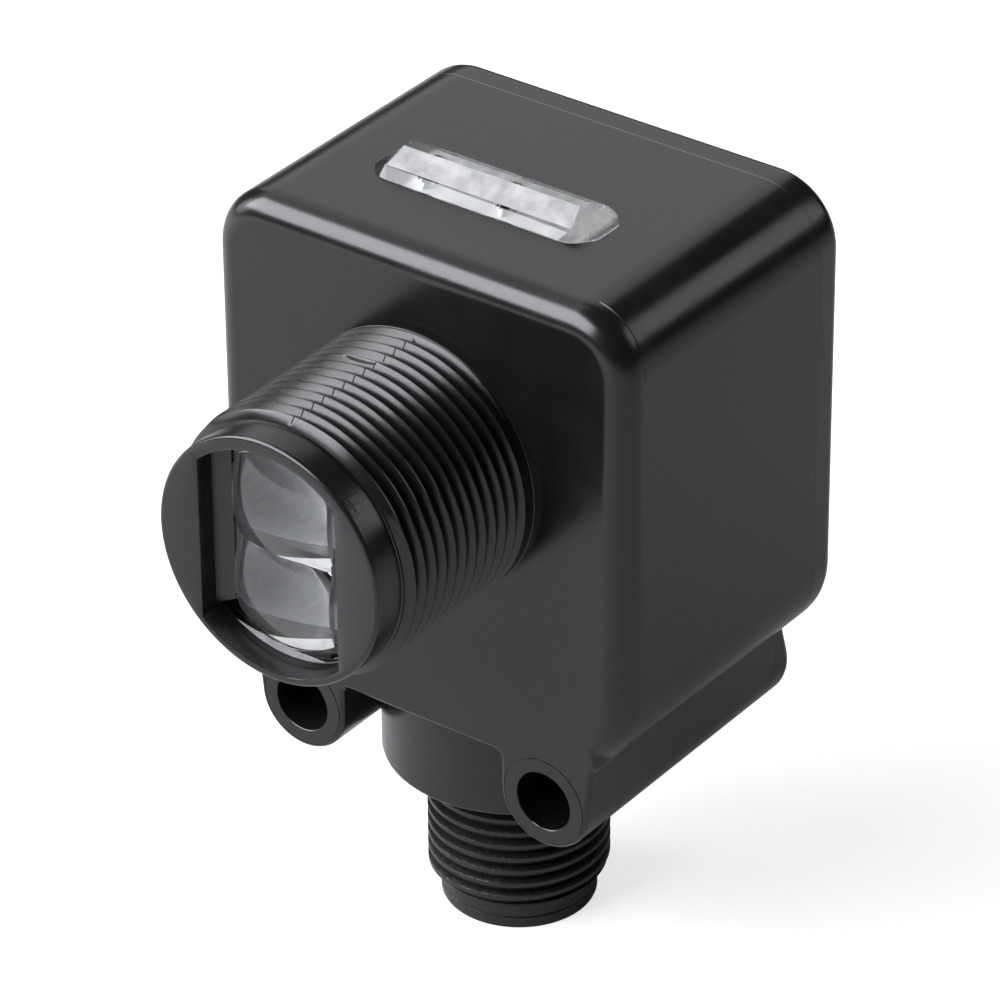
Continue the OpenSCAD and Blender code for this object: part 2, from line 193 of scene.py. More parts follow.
def along_z(x, y):
    """Places on circles about an upright axis through (x, y)."""
    def place(angle, r, z):
        c, s = polar(angle)
        return x + r * c, y + r * s, z
    return place


def about_lug(side):
    return along_y(side * LUG_X, LUG_Z)


def turned(name, place, profile, steps=144, start=0.0):
    """Solid of revolution from a closed profile of (radius, height) points."""
    rings = [[place(start + 360 * i / steps, r, h) for r, h in profile] for i in range(steps)]
    return loft(name, rings, looped=True)


def thread_cutter(place, start_angle, start, turns, direction, section, fade, steps=72):
    """Helical groove. direction is the sign of the angle as the groove climbs its axis.

    section holds (radius, height) points, and fade gives the turns over which the groove gets shallow.
    """
    rings = []
    lift = 0.75
    count = round(turns * steps)
    for i in range(count + 1):
        turn = turns * i / count
        angle = start_angle + direction * 360 * turn
        depth = smooth(turn / fade) * smooth((turns - turn) / fade)
        ring = [place(angle, r + lift * (1 - depth), start + PITCH * turn + h) for r, h in section]
        rings.append(ring)
    return loft("cutter", rings)


def apply_boolean(obj, other, operation):
    """Joins or cuts obj with other, which is used up."""
    mod = obj.modifiers.new("solid", "BOOLEAN")
    mod.operation = operation
    mod.solver = "EXACT"
    mod.object = other
    graph = bpy.context.evaluated_depsgraph_get()
    mesh = bpy.data.meshes.new_from_object(obj.evaluated_get(graph))
    obj.modifiers.clear()
    old = obj.data
    obj.data = mesh
    mesh.name = old.name
    bpy.data.meshes.remove(old)
    used = other.data
    bpy.data.objects.remove(other)
    bpy.data.meshes.remove(used)


def cut(obj, cutter):
    apply_boolean(obj, cutter, "DIFFERENCE")


def add(obj, other):
    apply_boolean(obj, other, "UNION")


def rod(place, r, low, high, steps=96):
    """Round bar or hole cutter from height low to high."""
    rings = [[place(360 * i / steps, r, h) for i in range(steps)] for h in (low, high)]
    return loft("rod", rings)


def finish_piece(obj, material, replaced, sharp_angle=32):
    """Shading, material, the body it rides on and the CAD node it stands for."""
    mesh = obj.data
    clean(mesh)
    mesh.materials.clear()
    mesh.materials.append(material)
    mesh.shade_smooth()
    mesh.set_sharp_from_angle(angle=math.radians(sharp_angle))
    weighted = obj.modifiers.new("even_shading", "WEIGHTED_NORMAL")
    weighted.keep_sharp = True
    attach(obj, "root")
    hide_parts(replaced)
    return obj


# ---------------------------------------------------------------- outline of the body

class Outline:
    """Closed outline in XZ. Each point has an outward normal and what the skin does there."""

    def __init__(self):
        self.points = []

    def put(self, x, z, nx, nz, front, rear, draft=0.0, witness=0.0):
        self.points.append((x, z, nx, nz, front, rear, draft, witness))

    def line(self, start, end, count, front, rear, draft=0.0):
        dx, dz = end[0] - start[0], end[1] - start[1]
        length = math.hypot(dx, dz)
        for t in spread(0, 1, count)[1:-1]:
            self.put(start[0] + dx * t, start[1] + dz * t, dz / length, -dx / length, front, rear, draft)

    def arc(self, centre, r, a0, a1, count, shape, hollow=False):
        """shape(t) gives (front rounding, rear rounding, draft, witness depth) along the arc."""
        for t in spread(0, 1, count):
            c, s = polar(a0 + (a1 - a0) * t)
            sign = -1 if hollow else 1
            self.put(centre[0] + r * c, centre[1] + r * s, sign * c, sign * s, *shape(t))

    def mirrored(self):
        """The whole outline from its right half."""
        left = [(-x, z, -nx, nz, f, r, d, 0.0) for x, z, nx, nz, f, r, d, _ in reversed(self.points)]
        keep_left = [p for p in left if p[0] < -1e-6]
        self.points = self.points + keep_left
        return self


FRONT_ROUND = 1.7
EDGE_ROUND = 0.35
REAR_ROUND = 1.0
REAR_EDGE = 0.75
HOLLOW_R = 0.45
SIDE_DRAFT = 0.25
WITNESS = 0.045
HOUSING_LUG_LEAN = -6.14
COVER_LUG_LEAN = 14.0


def housing_outline(lean):
    """Right half from the middle of the underside round to the middle of the top, then mirrored.

    lean is the angle of the line that joins a lug to the corner above it. A lug meets the body in
    hollows of radius HOLLOW_R.
    """
    out = Outline()
    inner_x = LUG_X - LUG_R
    small = HOLLOW_R
    edge = lambda t: (EDGE_ROUND, REAR_EDGE, 0.0, 0.0)

    out.put(0, UNDERSIDE, 0, -1, EDGE_ROUND, REAR_EDGE)
    out.line((0, UNDERSIDE), (inner_x - small, UNDERSIDE), 8, EDGE_ROUND, REAR_EDGE)
    out.arc((inner_x - small, UNDERSIDE - small), small, 90, 0, 5, edge, hollow=True)

    out.arc((LUG_X, LUG_Z), LUG_R, 180, 360 + lean, 34, edge)

    nx, nz = polar(lean)
    dx, dz = -nz, nx
    touch = (LUG_X + LUG_R * nx, LUG_Z + LUG_R * nz)
    corner = (HALF_W - CORNER_LOW, UNDERSIDE + CORNER_LOW)
    base = (touch[0] + small * nx - corner[0], touch[1] + small * nz - corner[1])
    along = base[0] * dx + base[1] * dz
    off = base[0] ** 2 + base[1] ** 2 - (CORNER_LOW + small) ** 2
    climb = -along - math.sqrt(along ** 2 - off)
    hollow_c = (touch[0] + small * nx + climb * dx, touch[1] + small * nz + climb * dz)
    line_end = (touch[0] + climb * dx, touch[1] + climb * dz)
    out.line(touch, line_end, 6, EDGE_ROUND, REAR_EDGE)
    a0 = math.degrees(math.atan2(-nz, -nx)) % 360
    a1 = math.degrees(math.atan2(corner[1] - hollow_c[1], corner[0] - hollow_c[0]))
    out.arc(hollow_c, small, a0, a1, 5, edge, hollow=True)

    def lower_corner(t):
        grow = smooth(t / 0.2)
        return (
            EDGE_ROUND + (FRONT_ROUND - EDGE_ROUND) * grow,
            REAR_EDGE + (REAR_ROUND - REAR_EDGE) * grow,
            grow,
            0.0,
        )

    out.arc(corner, CORNER_LOW, a1 - 180, 0, 30, lower_corner)
    shoulder = TOP - CORNER_TOP
    out.line((HALF_W, corner[1]), (HALF_W, shoulder), 8, FRONT_ROUND, REAR_ROUND, 1.0)

    def upper_corner(t):
        mark = 1.0 if 0.04 < t < 0.88 else 0.0
        return FRONT_ROUND, REAR_ROUND, 1 - smooth(t), mark

    out.arc((HALF_W - CORNER_TOP, shoulder), CORNER_TOP, 0, 90, 24, upper_corner)
    out.line((HALF_W - CORNER_TOP, TOP), (0, TOP), 8, FRONT_ROUND, REAR_ROUND)
    out.put(0, TOP, 0, 1, FRONT_ROUND, REAR_ROUND)
    return out.mirrored().points


def plain_outline(inset):
    """Rounded rectangle of the body alone, drawn smaller by inset."""
    points = []
    w = HALF_W - inset
    corners = (
        (w - (CORNER_LOW - inset), UNDERSIDE + CORNER_LOW, CORNER_LOW - inset, -90),
        (w - (CORNER_TOP - inset), TOP - CORNER_TOP, CORNER_TOP - inset, 0),
        (-w + (CORNER_TOP - inset), TOP - CORNER_TOP, CORNER_TOP - inset, 90),
        (-w + (CORNER_LOW - inset), UNDERSIDE + CORNER_LOW, CORNER_LOW - inset, 180),
    )
    for cx, cz, r, a0 in corners:
        for angle in spread(a0, a0 + 90, 10):
            c, s = polar(angle)
            points.append((cx + r * c, cz + r * s))
    return points


def slab(points, y0, y1):
    """Plate with an outline in XZ."""
    return loft("slab", [[(x, y, z) for x, z in points] for y in (y0, y1)])


def skin_ring(outline, inset_of, y_of):
    """One ring of the body's skin, with the sides leaning in towards the front."""
    ring = []
    for point in outline:
        x, z, nx, nz, _, _, draft, _ = point
        inset = inset_of(point)
        y = y_of(point)
        lean = SIDE_DRAFT * draft * abs(nx) * max(0.0, 1 - y / SEAM)
        ring.append((x - nx * inset - math.copysign(lean, nx) * (abs(nx) > 0), y, z - nz * inset))
    return ring


# ---------------------------------------------------------------- housing

ROUND_STEPS = 7
SEAM_BEVEL = 0.015


def body_skin():
    """Outside of the body: rounded front edge, a fine witness line behind it, and plain sides."""
    outline = housing_outline(HOUSING_LUG_LEAN)
    rings = []
    for angle in spread(0, 90, ROUND_STEPS):
        c, s = polar(angle)
        rings.append(skin_ring(outline, lambda p: p[4] * (1 - s), lambda p: p[4] * (1 - c)))
    mark_y = FRONT_ROUND + 0.35
    for dy, depth in ((-0.06, 0), (-0.03, 1), (0.03, 1), (0.06, 0)):
        rings.append(skin_ring(outline, lambda p: WITNESS * depth * p[7], lambda p: mark_y + dy))
    for y in (8.0, 14.0, SEAM - SEAM_BEVEL):
        rings.append(skin_ring(outline, lambda p: 0.0, lambda p: y))
    rings.append(skin_ring(outline, lambda p: SEAM_BEVEL, lambda p: SEAM))
    return loft("housing_body", rings)


CHAMFER_START = -12.0
CHAMFER_END = -12.42
CHAMFER_R = 8.45
THREAD_DEPTH = 0.52
THREAD_TURNS = 12.15
THREAD_START_ANGLE = 74
THREAD_START = -12.6
FLARE = 0.06
PARTING_ANGLE = 88.5
PARTING_WIDTH = 0.08
GATE_ANGLE = 95
GATE_Y = -4.45
GATE_HALF_ANGLE = 10
GATE_HALF_WIDTH = 0.6
GATE_DEPTH = 0.42
LENS_SEAT_R = 7.6
BAFFLE_BORE_R = 7.0
PLUG_FLANGE_R = 7.05
PLUG_NECK_R = 5.55


def barrel_blank():
    """Nose barrel before its thread is cut, with a small flare where it leaves the front face."""
    flare = [(NOSE_R + FLARE * (1 - polar(a)[1]), -FLARE * (1 - polar(a)[0])) for a in (0, 30, 60, 90)]
    profile = [(2.0, 1.2), (NOSE_R + FLARE, 1.2)] + flare
    profile += [
        (NOSE_R, CHAMFER_START),
        (CHAMFER_R, CHAMFER_END),
        (BEZEL_R, CHAMFER_END - 0.02),
        (BEZEL_R, BARREL_FRONT),
        (2.0, BARREL_FRONT),
    ]
    return turned("barrel", about_nose, profile, steps=160, start=0.7)


def nose_thread_cutter():
    """Groove of the nose thread. Its upper corners round the crests on either side."""
    root = NOSE_R - THREAD_DEPTH
    half = 0.5 * PITCH
    upper = [
        (NOSE_R + 0.5, 0.96 * half),
        (NOSE_R + 0.04, 0.96 * half),
        (NOSE_R - 0.1, 0.8 * half),
        (root, 0.14),
    ]
    section = [(r, -h) for r, h in reversed(upper)] + upper
    first = THREAD_START + (90 - THREAD_START_ANGLE) / 360
    return thread_cutter(about_nose, THREAD_START_ANGLE, first, THREAD_TURNS, -1, section, 0.14)


def nose_block(angle, r0, r1, y0, y1, width):
    """Small block on the barrel, square to its surface."""
    c, s = polar(angle)
    rings = []
    for y in (y0, y1):
        corners = ((r0, -width / 2), (r1, -width / 2), (r1, width / 2), (r0, width / 2))
        rings.append([(r * c - t * s, y, r * s + t * c) for r, t in corners])
    return loft("block", rings)


def gate_mark():
    """Cutter for the shallow hollow across two thread crests, where the mould was filled."""
    rings = []
    for k in range(1, 12):
        along, swell = polar(180 * k / 12)
        ring = []
        for a in range(24):
            c, s = polar(15 * a)
            angle = GATE_ANGLE + GATE_HALF_ANGLE * along
            r = NOSE_R + 0.12 + GATE_DEPTH * swell * c
            ring.append(about_nose(angle, r, GATE_Y + GATE_HALF_WIDTH * swell * s))
        rings.append(ring)
    return loft("gate", rings)


def boss_blank():
    """Round boss under the body, flared where it leaves it and rounded at its low edge."""
    wide = 0.4
    edge = 0.25
    quarter = [polar(a) for a in (0, 30, 60, 90)]
    flare = [(BOSS_R + wide * (1 - s), UNDERSIDE - wide * (1 - c)) for c, s in quarter]
    low = [(BOSS_R - edge * (1 - c), BOSS_LOW + edge * (1 - s)) for c, s in quarter]
    profile = [(3.0, UNDERSIDE + 1.2), (BOSS_R + wide, UNDERSIDE + 1.2)] + flare + low + [(3.0, BOSS_LOW)]
    return turned("boss", about_plug, profile, steps=128, start=0.9)


def window_foot(grow=0.0):
    """Outline of the indicator window's foot in XY: an oblong with cut-off, softened corners."""
    half_l = (WINDOW_HIGH.x - WINDOW_LOW.x) / 2 + grow
    half_w = (WINDOW_HIGH.y - WINDOW_LOW.y) / 2 + grow
    return all_round([
        (half_l, 0.9), (half_l - 0.1, 1.25), (half_l - 0.8, half_w - 0.45),
        (half_l - 1.3, half_w - 0.1), (half_l - 1.9, half_w),
    ])


def all_round(quarter):
    """The whole outline from its first quarter, drawn from the right end towards the middle."""
    right = [(x, -y) for x, y in reversed(quarter)] + quarter
    return right + [(-x, -y) for x, y in right]


def upright(points, z0, z1):
    """Block about the middle of the indicator window, with an outline in XY."""
    return loft("prism", [[(WINDOW_X + x, WINDOW_Y + y, z) for x, y in points] for z in (z0, z1)])


def lug_pad_ring(side):
    """Cutter for a shallow ring line round a mounting hole."""
    profile = [(3.0, -1.0), (3.0, 0.05), (3.08, 0.05), (3.08, -1.0)]
    return turned("ring", about_lug(side), profile, steps=96, start=0.4)


def lug_hole(side):
    """Cutter for a mounting hole with its front edge broken."""
    profile = [
        (0.5, -1.0), (LUG_HOLE_R + 1.04, -1.0), (LUG_HOLE_R, 0.04), (LUG_HOLE_R, SEAM + 1), (0.5, SEAM + 1),
    ]
    return turned("hole", about_lug(side), profile, steps=72, start=0.3)


def housing():
    """Body, barrel, boss and lugs in one, hollow inside."""
    body = body_skin()
    add(body, barrel_blank())
    add(body, boss_blank())
    cut(body, nose_thread_cutter())
    cut(body, nose_block(PARTING_ANGLE, NOSE_R - 0.4, NOSE_R + 0.5, CHAMFER_END, -0.3, PARTING_WIDTH))
    cut(body, gate_mark())
    for side in (-1, 1):
        cut(body, lug_hole(side))
        # The turned cutter leaves a thin core, which this rod takes out.
        cut(body, rod(about_lug(side), 0.6, -2, SEAM + 2))
        cut(body, lug_pad_ring(side))
    cut(body, slab(plain_outline(WALL), WALL, SEAM + 1))
    cut(body, rod(about_nose, LENS_SEAT_R, BARREL_FRONT - 1, BARREL_FRONT + 1.7))
    cut(body, rod(about_nose, BAFFLE_BORE_R, BARREL_FRONT + 1.6, WALL + 0.5))
    cut(body, rod(about_plug, PLUG_FLANGE_R, BOSS_LOW + 1.3, UNDERSIDE + WALL + 0.5))
    cut(body, rod(about_plug, PLUG_NECK_R, BOSS_LOW - 1, BOSS_LOW + 1.5))
    cut(body, upright(window_foot(0.03), TOP - WALL - 0.5, TOP + 1))
    body.name = "sensor_housing"
    return body


# ---------------------------------------------------------------- rear cover

POST_R = 1.1
POST_X = 11.6
POST_LOW_Z = -8.5
POST_HIGH_Z = 8.0


def rear_cover():
    """Lid with a locating lip and four posts that hold the main board."""
    outline = housing_outline(COVER_LUG_LEAN)
    rings = [
        skin_ring(outline, lambda p: SEAM_BEVEL, lambda p: SEAM),
        skin_ring(outline, lambda p: 0.0, lambda p: SEAM + SEAM_BEVEL),
    ]
    for angle in spread(0, 90, 6):
        c, s = polar(angle)
        rings.append(skin_ring(outline, lambda p: p[5] * (1 - c), lambda p: BACK - p[5] * (1 - s)))
    cover = loft("rear_lid", rings)
    lip = slab(plain_outline(WALL + 0.05), SEAM - 1.6, SEAM + 0.4)
    add(cover, lip)
    cut(cover, slab(plain_outline(WALL + 1.25), SEAM - 2, SEAM + 0.001))
    board_back = node_box("main_board")[1].y
    for x in (-POST_X, POST_X):
        for z in (POST_LOW_Z, POST_HIGH_Z):
            add(cover, rod(along_y(x, z), POST_R, board_back, SEAM + 0.5, steps=32))
    for side in (-1, 1):
        cut(cover, rod(about_lug(side), LUG_HOLE_R, SEAM - 1, BACK + 1, steps=72))
    cover.name = "housing_rear_cover"
    return cover


# ---------------------------------------------------------------- bezel and lens

WINDOW_R = 7.6
WINDOW_DROP = 0.22
WINDOW_HALF = 5.2
LEDGE_IN = 3.95
LEDGE_IN_ENDS = (-4.9, 5.7)
LEDGE_OUT = WINDOW_HALF + 0.2
LEDGE_OUT_ENDS = (5.3, -5.5)
LEDGE_LOW = 0.05
LEDGE_HIGH = 0.5
BEZEL_ROUND = 0.28
BAND_MARKS = (42.0, 46.0)
MARK_WIDTH = 0.34


def window_points(grow, steps=28):
    """Outline of the front window: round above and below, straight at the sides."""
    r = WINDOW_R + grow
    half = WINDOW_HALF + grow
    a = math.degrees(math.acos(half / r))
    points = [(r * polar(t)[0], r * polar(t)[1]) for t in spread(a, 180 - a, steps)]
    return [(x, z - WINDOW_DROP) for x, z in points] + [(-x, -z - WINDOW_DROP) for x, z in points]


def window_ledge(side):
    """Strip beside the lens, leaning back from the window's straight side towards the lens."""
    inner = [(LEDGE_IN, z) for z in LEDGE_IN_ENDS]
    outer = [(LEDGE_OUT, z) for z in LEDGE_OUT_ENDS]
    front = [(x, BARREL_FRONT - LEDGE_LOW, z) for x, z in inner]
    front += [(x, BARREL_FRONT - LEDGE_HIGH, z) for x, z in outer]
    rear = [(x, BARREL_FRONT, z) for x, z in inner + outer]
    return loft("ledge", [[(side * x, y, z) for x, y, z in ring] for ring in (front, rear)])


def bezel():
    """Round cap with its window, the ledges beside the lens and two raised dashes on its side."""
    quarter = [polar(a) for a in (0, 22, 45, 68, 90)]
    front = [(BEZEL_R - BEZEL_ROUND * (1 - c), NOSE_TIP + BEZEL_ROUND * (1 - s)) for c, s in quarter]
    profile = [(1.0, BARREL_FRONT), (BEZEL_R, BARREL_FRONT)]
    ring = turned("bezel", about_nose, profile + front + [(1.0, NOSE_TIP)], steps=160, start=0.5)
    opening = (
        (0.6, NOSE_TIP - 0.5),
        (0.1, NOSE_TIP),
        (0.03, NOSE_TIP + 0.04),
        (0.0, NOSE_TIP + 0.11),
        (0.0, BARREL_FRONT + 0.5),
    )
    rings = [[(x, y, z) for x, z in window_points(grow)] for grow, y in opening]
    for angle in BAND_MARKS:
        low, high = NOSE_TIP + 0.75, NOSE_TIP + 1.2
        add(ring, nose_block(angle, BEZEL_R - 0.2, BEZEL_R + 0.06, low, high, MARK_WIDTH))
    cut(ring, loft("window", rings))
    for side in (-1, 1):
        add(ring, window_ledge(side))
    ring.name = "window_bezel"
    return ring


DOME_R = 8.6
DOME_APEX = NOSE_TIP + 0.5
DOME_Z = 2.9
DOME_HALF_W = 3.6
DOME_EDGE_R = 6.6
FLANGE_R = 7.55
LAND_R = 7.5
LAND_ANGLES = (238, 292)
LAND_THICKNESS = 0.62


def dome_height(x, z):
    """Y of the lens surface, a dome about each of the two optical axes."""
    return DOME_APEX + DOME_R - math.sqrt(DOME_R ** 2 - x ** 2 - (abs(z) - DOME_Z) ** 2)


def lens_block():
    """Twin-domed front of the lens. The domes meet in a straight valley on the nose axis."""
    columns = spread(-DOME_HALF_W, DOME_HALF_W, 44)
    rows = spread(-1, 1, 72)
    verts = []
    faces = []
    across = len(columns)
    for t in rows:
        for x in columns:
            z = t * math.sqrt(DOME_EDGE_R ** 2 - x ** 2)
            verts.append((x, dome_height(x, z), z))
    for j in range(len(rows) - 1):
        for i in range(across - 1):
            a = j * across + i
            faces.append((a, a + 1, a + across + 1, a + across))
    rim = (
        [i for i in range(across)]
        + [j * across + across - 1 for j in range(1, len(rows))]
        + [(len(rows) - 1) * across + i for i in range(across - 2, -1, -1)]
        + [j * across for j in range(len(rows) - 2, 0, -1)]
    )
    base = len(verts)
    for k in rim:
        x, _, z = verts[k]
        verts.append((x, BARREL_FRONT + 0.3, z))
    for i in range(len(rim)):
        j = (i + 1) % len(rim)
        faces.append((rim[i], rim[j], base + j, base + i))
    faces.append(tuple(range(base, base + len(rim))))
    return make_object("lens_block", verts, faces)


# Outlines in XZ of the frosted ribs behind the lower and the upper dome. Their rear faces get a painted glow
# that stands for the light falling through the domes.
LENS_RIBS = (
    ((-1.8, -6.95), (2.8, -6.95), (2.8, -5.25), (-1.8, -6.45)),
    ((-2.4, -1.0), (2.8, -1.0), (2.8, 0.45), (-2.4, -0.75)),
)


def pale_land_painted_highlight():
    """Thin crescent low on the flange, rough and pale: a painted highlight that stands for light reflected
    off the flange's low edge.
    """
    steps = 24
    outer = [(LAND_R * polar(a)[0], LAND_R * polar(a)[1]) for a in spread(*LAND_ANGLES, steps)]
    inner = []
    for i, (x, z) in enumerate(reversed(outer)):
        thick = LAND_THICKNESS * math.sin(math.pi * i / steps)
        inner.append((x, z + thick + 0.01))
    return slab(outer + inner, BARREL_FRONT - 0.03, BARREL_FRONT + 0.02)


def lens():
    """Round flange with the two domes in front, and frosted ribs and land. The ribs carry a painted glow and
    the land a painted highlight.
    """
    r = FLANGE_R
    profile = [
        (1.0, BARREL_FRONT), (r - 0.08, BARREL_FRONT), (r, BARREL_FRONT + 0.08),
        (r, BARREL_FRONT + 0.92), (r - 0.08, BARREL_FRONT + 1.0), (1.0, BARREL_FRONT + 1.0),
    ]
    flange = turned("lens", about_nose, profile, steps=128, start=0.6)
    # The turned flange has a hole in its middle, which this rod fills.
    add(flange, rod(about_nose, 1.5, BARREL_FRONT, BARREL_FRONT + 1.0, steps=32))
    add(flange, lens_block())
    for rib in LENS_RIBS:
        add(flange, slab(rib, BARREL_FRONT + 0.95, BARREL_FRONT + 1.06))
    add(flange, pale_land_painted_highlight())
    flange.name = "twin_lens"
    return flange


# ---------------------------------------------------------------- indicator window

STEP_HEIGHT = 0.65
STEP_QUARTER = [(7.75, 0.5), (7.65, 0.9), (7.4, 1.35), (7.2, 1.7), (7.05, 1.85)]
TOP_HALF_L = 6.7
TOP_FRONT = -0.45
TOP_REAR = 0.25
POCKET_R = 0.75
POCKET_OFFSET = -0.9


def light_pocket(node):
    """Cutter for the hollow that an indicator shines into, a little in front of the indicator."""
    a, b = node_box(node)
    place = along_z((a.x + b.x) / 2, (a.y + b.y) / 2 + POCKET_OFFSET)
    low = WINDOW_LOW.z
    profile = [
        (0.02, low - 0.5),
        (POCKET_R, low - 0.5),
        (POCKET_R, low + 0.5),
        (POCKET_R - 0.22, low + 0.95),
        (0.02, low + 1.15),
    ]
    return turned("pocket", place, profile, steps=40)


def indicator_window():
    """Clear prism: foot in its slot, low step, long sloped facet at the front and a narrow top."""
    inner = all_round(STEP_QUARTER)
    half_w = max(y for _, y in inner)
    top = []
    for x, y in inner:
        reach = abs(y) / half_w
        top_y = TOP_REAR * reach if y > 0 else TOP_FRONT * reach
        top.append((math.copysign(TOP_HALF_L - 0.25 * (1 - reach), x), top_y))
    rings = [
        [(x, y, WINDOW_LOW.z) for x, y in window_foot()],
        [(x, y, TOP + 0.05) for x, y in window_foot()],
        [(x, y, TOP + STEP_HEIGHT) for x, y in inner],
        [(x, y, WINDOW_HIGH.z) for x, y in top],
    ]
    prism = loft("prism", [[(WINDOW_X + x, WINDOW_Y + y, z) for x, y, z in ring] for ring in rings])
    for node in ("power_indicator", "output_indicator"):
        cut(prism, light_pocket(node))
    prism.name = "indicator_prism"
    return prism


# ---------------------------------------------------------------- connector

SHELL_BORE_R = 4.3
SHELL_COLLAR_R = 4.9
SHELL_FLANGE_R = 7.0
SHELL_NECK_R = 5.5
SHELL_FLANGE_THICKNESS = 0.8
TIP_R = 5.15
THREAD_TOP = BOSS_LOW - 0.1
THREAD_LOW = THREAD_TOP - 8.8
PLUG_THREAD_DEPTH = 0.58
PLUG_THREAD_TURNS = 8.55
PLUG_THREAD_ANGLE = 215
GROOVE_DEPTH = 0.09


def plug_thread_cutter():
    """Groove of the connector's thread, with rounded crests as on the nose."""
    half = 0.5 * PITCH
    root = PLUG_R - PLUG_THREAD_DEPTH
    upper = [
        (PLUG_R + 0.6, 0.76 * half),
        (PLUG_R + 0.04, 0.76 * half),
        (PLUG_R - 0.08, 0.6 * half),
        (root, 0.2),
    ]
    lower = [(r, -h) for r, h in reversed(upper)]
    return thread_cutter(
        about_plug, PLUG_THREAD_ANGLE, THREAD_LOW - 0.35, PLUG_THREAD_TURNS, 1, lower + upper, 0.12
    )


def connector_shell():
    """Threaded connector shell: flange and neck in the boss, thread, and a smooth tip with a fine groove."""
    seat = BOSS_LOW + 1.3
    ledge = seat + SHELL_FLANGE_THICKNESS
    inside = [(SHELL_BORE_R, seat), (SHELL_COLLAR_R, seat), (SHELL_COLLAR_R, SHELL_TOP)]
    flange = [(SHELL_FLANGE_R, SHELL_TOP), (SHELL_FLANGE_R, ledge)]
    neck = [(SHELL_NECK_R, ledge), (SHELL_NECK_R, THREAD_TOP)]
    thread = [
        (PLUG_R - 0.15, THREAD_TOP),
        (PLUG_R, THREAD_TOP - 0.15),
        (PLUG_R, THREAD_LOW),
        (PLUG_R - 0.3, THREAD_LOW - 0.25),
        (TIP_R + 0.06, THREAD_LOW - 0.75),
        (TIP_R, THREAD_LOW - 0.8),
    ]
    groove = [
        (TIP_R, PLUG_TIP + 1.0),
        (TIP_R - GROOVE_DEPTH, PLUG_TIP + 0.95),
        (TIP_R - GROOVE_DEPTH, PLUG_TIP + 0.87),
        (TIP_R, PLUG_TIP + 0.82),
    ]
    tip = [
        (TIP_R, PLUG_TIP + 0.2),
        (TIP_R - 0.06, PLUG_TIP + 0.06),
        (TIP_R - 0.2, PLUG_TIP),
        (SHELL_BORE_R + 0.15, PLUG_TIP),
        (SHELL_BORE_R, PLUG_TIP + 0.15),
    ]
    profile = inside + flange + neck + thread + groove + tip
    shell = turned("shell", about_plug, profile, steps=144, start=0.35)
    cut(shell, plug_thread_cutter())
    shell.name = "connector_body"
    return shell


# ---------------------------------------------------------------- materials

class Nodes:
    """Short form for building a node tree."""

    def __init__(self, name):
        self.material = bpy.data.materials.new(name)
        self.material.use_nodes = True
        self.tree = self.material.node_tree
        self.shader = self.tree.nodes["Principled BSDF"]
        coords = self.tree.nodes.new("ShaderNodeTexCoord")
        self.place = coords.outputs["Object"]

    def plug(self, socket, value):
        """Links a node's output to the socket, or sets the socket's own value."""
        if isinstance(value, bpy.types.NodeSocket):
            self.tree.links.new(value, socket)
        else:
            socket.default_value = value

    def node(self, kind, settings=None, **inputs):
        """First output of a new node. An underscore in an input's name stands for a space."""
        made = self.tree.nodes.new(kind)
        for key, value in (settings or {}).items():
            setattr(made, key, value)
        for key, value in inputs.items():
            self.plug(made.inputs[key.replace("_", " ")], value)
        return made.outputs[0]

    def set(self, **inputs):
        """Sets or links the shader's inputs."""
        for key, value in inputs.items():
            self.plug(self.shader.inputs[key.replace("_", " ")], value)

    def noise(self, scale, detail=3.0, roughness=0.55):
        return self.node(
            "ShaderNodeTexNoise", Scale=scale, Detail=detail, Roughness=roughness, Vector=self.place
        )

    def coordinate(self, axis):
        """X, Y or Z of the point on the surface, in metres."""
        split = self.tree.nodes.new("ShaderNodeSeparateXYZ")
        self.plug(split.inputs[0], self.place)
        return split.outputs[axis]

    def remap(self, value, low, high, start=0.0, end=1.0):
        """Takes value from low..high to start..end."""
        made = self.tree.nodes.new("ShaderNodeMapRange")
        self.plug(made.inputs["Value"], value)
        made.inputs["From Min"].default_value = low
        made.inputs["From Max"].default_value = high
        made.inputs["To Min"].default_value = start
        made.inputs["To Max"].default_value = end
        return made.outputs["Result"]

    def mix(self, factor, a, b):
        made = self.tree.nodes.new("ShaderNodeMix")
        made.data_type = "RGBA"
        self.plug(made.inputs["Factor"], factor)
        self.plug(made.inputs[6], a)
        self.plug(made.inputs[7], b)
        return made.outputs[2]

    def math(self, operation, a, b):
        made = self.tree.nodes.new("ShaderNodeMath")
        made.operation = operation
        self.plug(made.inputs[0], a)
        self.plug(made.inputs[1], b)
        return made.outputs[0]

    def bump(self, height, distance, normal=None):
        made = self.tree.nodes.new("ShaderNodeBump")
        self.plug(made.inputs["Height"], height)
        made.inputs["Distance"].default_value = distance
        made.inputs["Strength"].default_value = 1.0
        if normal is not None:
            self.plug(made.inputs["Normal"], normal)
        return made.outputs["Normal"]

    def edges(self, radius):
        """High along outer edges, where handling polishes a part."""
        bevel = self.node("ShaderNodeBevel", settings={"samples": 4}, Radius=radius)
        geometry = self.tree.nodes.new("ShaderNodeNewGeometry")
        dot = self.tree.nodes.new("ShaderNodeVectorMath")
        dot.operation = "DOT_PRODUCT"
        self.plug(dot.inputs[0], bevel)
        self.plug(dot.inputs[1], geometry.outputs["Normal"])
        return self.remap(dot.outputs["Value"], 0.995, 0.8)


def grey(value, tint=(1.0, 1.0, 1.0)):
    return (value * tint[0], value * tint[1], value * tint[2], 1.0)


COOL = (0.96, 0.98, 1.06)
COOL_WORLD = (0.97, 0.98, 1.06)
COOL_LIGHT = (0.95, 0.965, 1.0)


